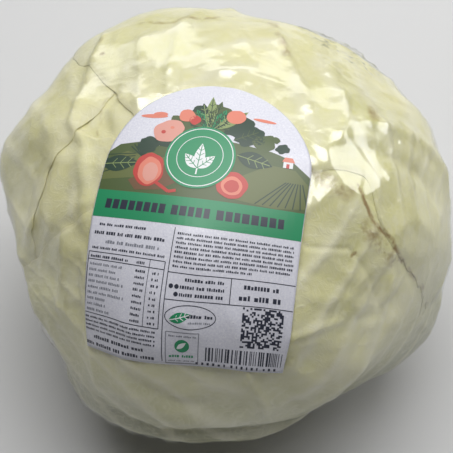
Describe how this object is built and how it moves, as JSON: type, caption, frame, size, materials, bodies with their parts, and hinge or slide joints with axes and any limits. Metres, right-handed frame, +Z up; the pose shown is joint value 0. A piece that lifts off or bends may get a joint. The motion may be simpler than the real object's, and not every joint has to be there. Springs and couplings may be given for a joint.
{
  "type": "cabbage head",
  "caption": "Green cabbage head with folded wrapper leaves around a tight heart and cut stem, wrapped in clear film with an arch-topped paper label.",
  "frame": {"origin": "on the resting surface, at the middle of the flat spot of film under the cut stem", "axes": "+Z up from the cut stem to the crown, -Y towards the front, where the label leans, +X to the label's right"},
  "size_m": [0.2251, 0.2116, 0.1738],
  "materials": {
    "wrapper_leaf": "waxy pale green leaf with raised pale veins",
    "heart_leaf": "waxy pale yellow-green leaf",
    "cut_stem": "matt pale flesh of a cut stem, browned at the cut",
    "clear_film": "clear thin stretched film with a high gloss and fine wrinkles",
    "label_paper": "smooth printed label paper, pale lilac with fine speckles"
  },
  "bodies": {
    "root": {"heart": "heart_leaf", "stem": "cut_stem", "wrapper_leaf_1": "wrapper_leaf", "wrapper_leaf_2": "wrapper_leaf", "wrapper_leaf_3": "wrapper_leaf", "wrapper_leaf_4": "wrapper_leaf", "wrapper_leaf_5": "wrapper_leaf", "wrapper_leaf_6": "wrapper_leaf", "wrapper_leaf_7": "wrapper_leaf", "wrapper_leaf_8": "wrapper_leaf", "film_wrap": "clear_film", "label": "label_paper"}
  },
  "joints": []
}
